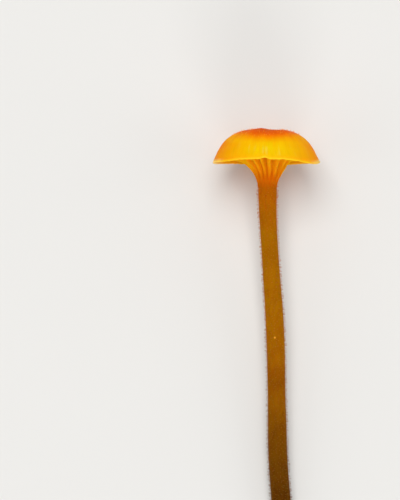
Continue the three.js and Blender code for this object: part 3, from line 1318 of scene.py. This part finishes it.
@dataclass(frozen=True)
class FleshFinish:
    """Moist, slightly translucent orange flesh, coloured along the way that it grew, and painted
    light and shade.
    """

    # Colours along the growth scale, each (place, 8-bit red, green, blue).
    stops: tuple[tuple[float, int, int, int], ...] = (
        (0.0, 205, 74, 2),
        (0.3, 216, 80, 1),
        (0.5, 231, 96, 1),
        (0.58, 243, 123, 1),
        (0.66, 252, 160, 1),
        (0.76, 255, 192, 2),
        (0.86, 255, 200, 4),
        (0.95, 255, 194, 4),
        (0.985, 255, 188, 10),
        (1.0, 255, 196, 30),
        (1.03, 255, 196, 34),
        (1.06, 240, 157, 12),
        (1.3, 242, 156, 8),
        (1.45, 253, 165, 7),
        (1.65, 237, 142, 5),
        (1.85, 209, 107, 3),
        (1.9, 202, 104, 3),
        (1.94, 189, 98, 3),
        (2.0, 176, 95, 2),
        (2.05, 170, 101, 2),
        (2.15, 164, 106, 2),
        (2.4, 164, 104, 2),
        # From here to the foot the stem darkens: mostly painted shade, over a foot a little darker
        # than the rest.
        (2.5, 159, 97, 2),
        (2.56, 144, 85, 2),
        (2.62, 146, 90, 2),
        (2.7, 125, 76, 2),
        (2.8, 109, 65, 3),
        (2.88, 95, 55, 3),
        (3.0, 94, 54, 5),
    )
    # Tones that are mixed in, and tints that the colour is multiplied by.
    # The first tint is painted shade, darker and more orange, on the cap's sides and back.
    side_shade_tint: Colour = (1.0, 0.4, 0.5)
    patch_tint: Colour = (0.84, 0.72, 1.0)
    painted_margin_glow: Colour = sunlit(255, 213, 118)
    gap_painted_light: Colour = sunlit(255, 195, 22)
    crest_tone: Colour = sunlit(255, 166, 12)
    streak_highlight_tone: Colour = sunlit(255, 222, 110)
    fleck_tone: Colour = sunlit(240, 176, 70)

    fibres: Noise = Noise(9.0, 4.0, 0.6)
    fine_fibres: Noise = Noise(34.0, 2.0, 0.5)
    blotches: Noise = Noise(520.0, 4.0, 0.6)
    pores: Noise = Noise(9000.0, 2.0, 0.5)
    margin_glow_patches: Noise = Noise(14.0, 3.0, 0.6)
    streaks: Noise = Noise(15.0, 1.5, 0.5)
    patches: Noise = Noise(560.0, 3.0, 0.6)

    # Where things come in or go out along the growth scale: (from, to).
    pushing_goes: Span = (0.9, 0.97)
    # The four side spans place the painted shade on the cap's sides along the growth scale.
    side_shade_comes: Span = (0.62, 0.83)
    side_shade_eases: Span = (0.87, 0.95)
    side_shade_drops: Span = (0.99, 1.0)
    side_shade_goes: Span = (1.03, 1.1)
    margin_glow_comes: Span = (0.972, 0.99)
    margin_glow_goes: Span = (1.05, 1.1)
    gills_come: Span = (1.3, 1.42)
    gills_go: Span = (1.52, 1.81)
    streaks_come: Span = (0.76, 0.86)
    streaks_go: Span = (0.93, 0.98)
    patches_come: Span = (1.95, 2.1)
    lip_comes: Span = (0.94, 0.99)
    lip_goes: Span = (1.04, 1.1)

    # How far the noises push the colours along the growth scale.
    fibre_push: float = 0.05
    blotch_push: float = 0.14
    # Between which cosines of the direction the cap turns orange, and the bend of that turn: painted
    # shade that darkens the cap away from its yellow front.
    painted_shade_turn: Span = (1.0, 0.3)
    painted_shade_bend: float = 0.72
    # Between which sines of the direction, of either sign, the margin turns cream: a pale rim with
    # painted light glowing through it, at the sides only.
    beside: Span = (0.8, 0.985)
    # How much of each tone shows at most.
    most_margin_glow: float = 0.85
    most_gap_light: float = 0.85
    most_crest: float = 0.12
    most_streak_highlight: float = 0.28
    most_patch: float = 0.55
    most_fleck: float = 0.9
    fibre_contrast: float = 0.7
    fine_share: float = 0.6
    streak_place: Place = (11.08, 6.43, 38.8)
    # The streaks, partly painted highlights, fade round the sides: between these cosines of the
    # direction, to this share.
    streak_highlights_front: Span = (0.7, 0.92)
    streak_highlights_beside: float = 0.25
    # A pale fleck on the stem: its place in grain drawn out to millimetres, and its edge's radii.
    grain_size: Place = (0.93, 0.93, 23.9)
    fleck: Place = (-0.08, 0.93, 32.14)
    fleck_edge: Span = (0.05, 0.13)

    glow_reach: float = 0.0011
    glow_tones: Colour = (1.0, 0.42, 0.06)
    glow: float = 0.8
    glow_in_thin_edges: float = 0.3
    gloss: float = 0.015
    ior: float = 1.4
    roughness: Span = (0.38, 0.54)
    bump_strength: float = 0.3
    bump_depth: float = 0.00003

    def build(self) -> bpy.types.Material:
        """Makes the material.

        The colour is read off the growth scale, pushed to and fro by fibrous noise, with painted
        shade darkening the stem's foot. Painted shade turns the cap more orange away from its yellow
        front, and painted light glows cream through the margin at the sides. Painted light lifts the
        gaps between the gills, and their edges are lightened a little. Pale streaks, partly painted
        highlights, soft patches on the stem, a fleck and the fibres vary it. A finer grain and the
        fibres give the bump and the roughness.

        Returns:
            The material.
        """
        n = Nodes("moss_navel_flesh")
        here = n.add("ShaderNodeTexCoord").outputs["Object"]
        grain = n.attribute("grain", "Vector")
        growth = n.attribute("growth")
        gill = n.attribute("gill")
        fibre = n.noise(grain, self.fibres)
        fine_fibre = n.noise(grain, self.fine_fibres)
        blotch = n.noise(here, self.blotches)
        colour = self.along_growth(n, growth, fibre, blotch)
        colour = self.paint_cap_light(n, colour, grain, growth)
        colour = self.on_gills(n, colour, gill, growth)
        colour = self.streaked_and_highlit(n, colour, grain, growth)
        colour = self.patchy(n, colour, here, growth)
        colour = self.flecked(n, colour, grain)
        colour = self.fibrous(n, colour, fibre, fine_fibre)
        rough = n.remap(n.maths("ADD", blotch, fine_fibre), (0.7, 1.3), self.roughness)
        inputs = n.shader.inputs
        n.link(colour, inputs["Base Color"])
        n.link(rough, inputs["Roughness"])
        n.link(self.glowing(n, gill, growth), inputs["Subsurface Weight"])
        inputs["Subsurface Radius"].default_value = self.glow_tones
        inputs["Subsurface Scale"].default_value = self.glow_reach
        inputs["Specular IOR Level"].default_value = self.gloss
        inputs["IOR"].default_value = self.ior
        n.link(self.bumpy(n, fine_fibre, n.noise(here, self.pores)), inputs["Normal"])
        return n.material

    def along_growth(self, n: Nodes, growth: Socket, fibre: Socket, blotch: Socket) -> Socket:
        """The colour run along the growth scale, its places pushed by the noises.

        Args:
            n: the material's nodes.
            growth: the growth scale.
            fibre: fibrous noise.
            blotch: blotchy noise.

        Returns:
            The colour's socket.
        """
        fibrous = n.maths("MULTIPLY", n.maths("SUBTRACT", fibre, 0.5), self.fibre_push)
        blotchy = n.maths("MULTIPLY", n.maths("SUBTRACT", blotch, 0.5), self.blotch_push)
        calm = n.remap(growth, self.pushing_goes, (1.0, 0.0))
        push = n.maths("MULTIPLY", n.maths("ADD", fibrous, blotchy), calm)
        scale = 1 / Zone.FOOT.value
        stops = tuple((place * scale, sunlit(r, g, b)) for place, r, g, b in self.stops)
        return n.ramp(n.maths("MULTIPLY", n.maths("ADD", growth, push), scale), stops)

    def paint_cap_light(self, n: Nodes, colour: Socket, grain: Socket, growth: Socket) -> Socket:
        """Paints shade on the cap away from its yellow front, and light glowing through its side
        margin.

        Args:
            n: the material's nodes.
            colour: the colour so far.
            grain: the sine and the cosine of the direction, and the drawn-out growth.
            growth: the growth scale.

        Returns:
            The colour's socket.
        """
        sine, cosine, _ = n.parts(grain)
        # Painted shade: the cap darkens and turns orange away from its front, as if lit from there.
        turned = n.maths("POWER", n.remap(cosine, self.painted_shade_turn, (0.0, 1.0)), self.painted_shade_bend)
        turned = n.maths("MULTIPLY", turned, n.remap(growth, self.side_shade_comes, (0.2, 1.0)))
        turned = n.maths("MULTIPLY", turned, n.remap(growth, self.side_shade_eases, (1.0, 0.87)))
        turned = n.maths("MULTIPLY", turned, n.remap(growth, self.side_shade_drops, (1.0, 0.3)))
        turned = n.maths("MULTIPLY", turned, n.remap(growth, self.side_shade_goes, (1.0, 0.0)))
        colour = n.mix(turned, colour, n.mix(1.0, colour, self.side_shade_tint, "MULTIPLY"))
        # Painted light: the thin margin glows cream at the sides, as where light shines through it
        # edge on.
        edge = n.between(growth, self.margin_glow_comes, self.margin_glow_goes)
        beside = n.remap(n.maths("ABSOLUTE", sine), self.beside, (0.0, self.most_margin_glow))
        uneven = n.remap(n.noise(grain, self.margin_glow_patches), (0.35, 0.6), (0.7, 1.0))
        margin_glow = n.maths("MULTIPLY", n.maths("MULTIPLY", edge, beside), uneven)
        return n.mix(margin_glow, colour, self.painted_margin_glow)

    def on_gills(self, n: Nodes, colour: Socket, gill: Socket, growth: Socket) -> Socket:
        """Paints light between the gills, lifting the shade that falls in the gaps, and lightens
        their edges a little.

        Args:
            n: the material's nodes.
            colour: the colour so far.
            gill: the height on the gill, 0 between them and 1 on the edge.
            growth: the growth scale.

        Returns:
            The colour's socket.
        """
        in_gills = n.between(growth, self.gills_come, self.gills_go)
        # Painted light: the shaded gaps between the gills are lightened.
        gap = n.maths("MULTIPLY", in_gills, n.remap(gill, (0.2, 0.95), (self.most_gap_light, 0.0)))
        colour = n.mix(gap, colour, self.gap_painted_light)
        crest = n.maths("MULTIPLY", in_gills, n.remap(gill, (0.4, 0.8), (0.0, self.most_crest)))
        return n.mix(crest, colour, self.crest_tone)

    def streaked_and_highlit(self, n: Nodes, colour: Socket, grain: Socket, growth: Socket) -> Socket:
        """Adds faint pale streaks down the cap's flank: partly the striate margin, partly painted
        highlights strongest in front.

        Args:
            n: the material's nodes.
            colour: the colour so far.
            grain: the sine and the cosine of the direction, and the drawn-out growth.
            growth: the growth scale.

        Returns:
            The colour's socket.
        """
        # Partly the cap's striate margin, partly painted highlights: pale streaks strongest on the
        # front.
        noise = n.noise(n.vectors("ADD", grain, self.streak_place), self.streaks)
        streak_highlight = n.remap(noise, (0.56, 0.76), (0.0, self.most_streak_highlight))
        flank = n.between(growth, self.streaks_come, self.streaks_go)
        in_front = n.remap(n.parts(grain)[1], self.streak_highlights_front, (self.streak_highlights_beside, 1.0))
        share = n.maths("MULTIPLY", n.maths("MULTIPLY", streak_highlight, flank), in_front)
        return n.mix(share, colour, self.streak_highlight_tone)

    def patchy(self, n: Nodes, colour: Socket, here: Socket, growth: Socket) -> Socket:
        """Adds soft patches to the stem, a little darker and redder than the rest.

        Args:
            n: the material's nodes.
            colour: the colour so far.
            here: the place on the mushroom, in metres.
            growth: the growth scale.

        Returns:
            The colour's socket.
        """
        patch = n.remap(n.noise(here, self.patches), (0.44, 0.6), (0.0, self.most_patch))
        on_stem = n.remap(growth, self.patches_come, (0.0, 1.0))
        tinted = n.mix(1.0, colour, self.patch_tint, "MULTIPLY")
        return n.mix(n.maths("MULTIPLY", patch, on_stem), colour, tinted)

    def flecked(self, n: Nodes, colour: Socket, grain: Socket) -> Socket:
        """Adds one small pale fleck on the front of the stem.

        Args:
            n: the material's nodes.
            colour: the colour so far.
            grain: the sine and the cosine of the direction, and the drawn-out growth.

        Returns:
            The colour's socket.
        """
        drawn = n.vectors("MULTIPLY", grain, self.grain_size)
        apart = n.vectors("DISTANCE", drawn, self.fleck, "Value")
        share = n.remap(apart, self.fleck_edge, (self.most_fleck, 0.0))
        return n.mix(share, colour, self.fleck_tone)

    def fibrous(self, n: Nodes, colour: Socket, fibre: Socket, fine_fibre: Socket) -> Socket:
        """Lightens and darkens the colour a little along the fibres.

        Args:
            n: the material's nodes.
            colour: the colour so far.
            fibre: fibrous noise.
            fine_fibre: finer fibrous noise.

        Returns:
            The colour's socket.
        """
        both = n.maths("ADD", fibre, n.maths("MULTIPLY", fine_fibre, self.fine_share))
        shade = n.remap(both, (0.5, 1.1), (0.92, 1.08))
        grey = n.add("ShaderNodeCombineColor")
        for socket in grey.inputs[:3]:
            n.link(shade, socket)
        return n.mix(self.fibre_contrast, colour, grey.outputs[0], "MULTIPLY")

    def glowing(self, n: Nodes, gill: Socket, growth: Socket) -> Socket:
        """How much light goes through the flesh: less in the margin's lip and the gills' edges.

        Args:
            n: the material's nodes.
            gill: the height on the gill.
            growth: the growth scale.

        Returns:
            The subsurface weight's socket.
        """
        lip = n.between(growth, self.lip_comes, self.lip_goes)
        thin = n.maths("MAXIMUM", lip, n.remap(gill, (0.5, 1.0), (0.0, 0.6)))
        return n.remap(thin, (0.0, 1.0), (self.glow, self.glow_in_thin_edges))

    def bumpy(self, n: Nodes, fine_fibre: Socket, pores: Socket) -> Socket:
        """Fine relief from the fibres and the pores.

        Args:
            n: the material's nodes.
            fine_fibre: fine fibrous noise.
            pores: the finest noise.

        Returns:
            The bent normal's socket.
        """
        fine = n.maths("MULTIPLY", fine_fibre, self.fine_share)
        finest = n.maths("MULTIPLY", pores, 1 - self.fine_share)
        bump = n.add("ShaderNodeBump")
        bump.inputs["Strength"].default_value = self.bump_strength
        bump.inputs["Distance"].default_value = self.bump_depth
        n.link(n.maths("ADD", fine, finest), bump.inputs["Height"])
        return bump.outputs["Normal"]


@dataclass(frozen=True)
class DownFinish:
    """Translucent down, the colour of what it stands on at the root and paler at its tip."""

    # Colours where a hair stands on the growth scale: (place, root, tip), each 8-bit.
    stops: tuple[tuple[float, tuple[int, int, int], tuple[int, int, int]], ...] = (
        (0.0, (222, 92, 4), (250, 156, 40)),
        (0.7, (248, 150, 6), (255, 200, 70)),
        (1.7, (244, 146, 8), (255, 196, 70)),
        (2.0, (180, 96, 5), (196, 113, 18)),
        (2.5, (152, 90, 5), (174, 109, 24)),
        # Towards the foot the down darkens with the stem: mostly painted shade.
        (3.0, (88, 50, 6), (120, 77, 26)),
    )
    mottle: Noise = Noise(2500.0)
    roughness: Span = (0.4, 0.6)
    glow: float = 0.4
    glow_tones: Colour = (1.0, 0.6, 0.3)
    glow_reach: float = 0.00006
    gloss: float = 0.2

    def build(self) -> bpy.types.Material:
        """Makes the material, with its tone and roughness varied a little by noise.

        Returns:
            The material.
        """
        n = Nodes("moss_navel_down")
        here = n.add("ShaderNodeTexCoord").outputs["Object"]
        scale = 1 / Zone.FOOT.value
        place = n.maths("MULTIPLY", n.attribute("ground"), scale)
        root = n.ramp(place, tuple((at * scale, sunlit(*low)) for at, low, high in self.stops))
        tip = n.ramp(place, tuple((at * scale, sunlit(*high)) for at, low, high in self.stops))
        paler = n.remap(n.attribute("along"), (0.4, 0.9), (0.0, 1.0))
        rough = n.remap(n.noise(here, self.mottle), (0.3, 0.7), self.roughness)
        inputs = n.shader.inputs
        n.link(n.mix(paler, root, tip), inputs["Base Color"])
        n.link(rough, inputs["Roughness"])
        inputs["Subsurface Weight"].default_value = self.glow
        inputs["Subsurface Radius"].default_value = self.glow_tones
        inputs["Subsurface Scale"].default_value = self.glow_reach
        inputs["Specular IOR Level"].default_value = self.gloss
        return n.material


@dataclass(frozen=True)
class FloorFinish:
    """Plain pale matt board."""

    tone: Colour = (0.74, 0.735, 0.72)
    darkest: float = 0.985
    mottle: Noise = Noise(60.0)
    roughness: float = 0.85
    gloss: float = 0.2

    def build(self) -> bpy.types.Material:
        """Makes the material, with a barely seen mottle.

        Returns:
            The material.
        """
        n = Nodes("pale_board")
        here = n.add("ShaderNodeTexCoord").outputs["Object"]
        darker = tuple(c * self.darkest for c in self.tone)
        n.link(n.mix(n.noise(here, self.mottle), self.tone, darker), n.shader.inputs["Base Color"])
        n.shader.inputs["Roughness"].default_value = self.roughness
        n.shader.inputs["Specular IOR Level"].default_value = self.gloss
        return n.material


@dataclass(frozen=True)
class Lamp:
    """A square soft light aimed at the mushroom, unseen by the camera."""

    name: str
    place: Place
    side: float
    power: float
    tint: Colour = (1.0, 1.0, 1.0)

    def hang(self) -> None:
        """Adds the light to the scene, turned towards the mushroom."""
        data = bpy.data.lights.new(self.name, "AREA")
        data.shape = "SQUARE"
        data.size = self.side
        data.energy = self.power
        data.color = self.tint
        made = bpy.data.objects.new(self.name, data)
        made.location = self.place
        made.rotation_euler = Vector(self.place).to_track_quat("Z", "Y").to_euler()
        made.visible_camera = False
        bpy.context.scene.collection.objects.link(made)


@dataclass
class Studio:
    """A pale floor, soft lights and a camera that looks down on the cap as it lies."""

    # A wide light above, beyond the cap, and three fills, in metres and watts.
    lamps: tuple[Lamp, ...] = (
        Lamp("key", (-0.13, 0.33, 1.4), 1.0, 15.2, (1.0, 0.985, 0.96)),
        Lamp("fill_left", (-1.3, -0.4, 0.72), 1.0, 2.5),
        Lamp("fill_right", (1.35, -0.16, 0.65), 1.0, 3.6),
        Lamp("fill_foot", (0.15, -1.7, 0.53), 0.9, 12.0),
    )
    surround_tone: Colour = (0.86, 0.87, 0.88)
    surround_light: float = 0.4
    surround_seen: float = 0.85
    floor_size: float = 3.0
    floor_gap: float = 0.00002
    distance: float = 0.2
    elevation: float = 82.4
    view_height: float = 0.05165
    cap_above_middle: float = 0.00914
    cap_right_of_middle: float = 0.00686
    sensor: float = 36.0
    nearest: float = 0.01
    furthest: float = 10.0

    def floor(self) -> bpy.types.Object:
        """A flat square just under the mushroom.

        Returns:
            The mesh object.
        """
        half = self.floor_size / 2
        corners = [(-half, -half), (half, -half), (half, half), (-half, half)]
        mesh = bpy.data.meshes.new("floor")
        mesh.from_pydata([(x, y, -self.floor_gap) for x, y in corners], [], [(0, 1, 2, 3)])
        mesh.materials.append(FloorFinish().build())
        made = piece("floor", mesh)
        made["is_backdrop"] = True
        return made

    def lights(self) -> None:
        """Hangs the lamps, and gives the scene an even pale surround.

        The surround is brighter where the camera sees it than as a light.
        """
        for lamp in self.lamps:
            lamp.hang()
        world = bpy.data.worlds.new("surround")
        world.use_nodes = True
        background = world.node_tree.nodes["Background"]
        background.inputs["Color"].default_value = (*self.surround_tone, 1)
        path = world.node_tree.nodes.new("ShaderNodeLightPath")
        strength = world.node_tree.nodes.new("ShaderNodeMapRange")
        strength.inputs["To Min"].default_value = self.surround_light
        strength.inputs["To Max"].default_value = self.surround_seen
        world.node_tree.links.new(path.outputs["Is Camera Ray"], strength.inputs["Value"])
        world.node_tree.links.new(strength.outputs["Result"], background.inputs["Strength"])
        bpy.context.scene.world = world

    def camera(self, cap_middle: Vector) -> bpy.types.Object:
        """A long lens that keeps the cap's middle where the framing puts it.

        Args:
            cap_middle: the middle of the cap's margin, in metres.

        Returns:
            The camera.
        """
        data = bpy.data.cameras.new("camera")
        data.sensor_fit = "AUTO"
        data.sensor_width = self.sensor
        data.lens = self.sensor * self.distance / self.view_height
        data.clip_start = self.nearest
        data.clip_end = self.furthest
        made = bpy.data.objects.new("camera", data)
        bpy.context.scene.collection.objects.link(made)
        tilt = math.radians(self.elevation)
        back = Vector((0, -math.cos(tilt), math.sin(tilt)))
        up = Vector((0, math.sin(tilt), math.cos(tilt)))
        right = Vector((1, 0, 0))
        middle = cap_middle - up * self.cap_above_middle - right * self.cap_right_of_middle
        made.location = middle + back * self.distance
        made.rotation_euler = back.to_track_quat("Z", "Y").to_euler()
        bpy.context.scene.camera = made
        return made


def main() -> None:
    """Builds the mushroom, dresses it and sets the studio."""
    low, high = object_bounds()
    bpy.context.scene.view_settings.view_transform = "Standard"
    growth = Growth()
    lying = Lying(np.array(low), np.array(high))
    skin = Skin(growth, lying).build()
    skin.data.materials.append(FleshFinish().build())
    down = Down().build(skin)
    down.data.materials.append(DownFinish().build())
    for made in (skin, down):
        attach(made, BODY)
        log.info("%s: %d faces", made.name, len(made.data.polygons))
    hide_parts(NODE)
    studio = Studio()
    studio.floor()
    studio.lights()
    studio.camera(Vector(lying.laid(np.zeros((1, 3)))[0]))


if __name__ == "__main__":
    logging.basicConfig(level=logging.INFO, format="%(name)s: %(message)s")
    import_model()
    main()
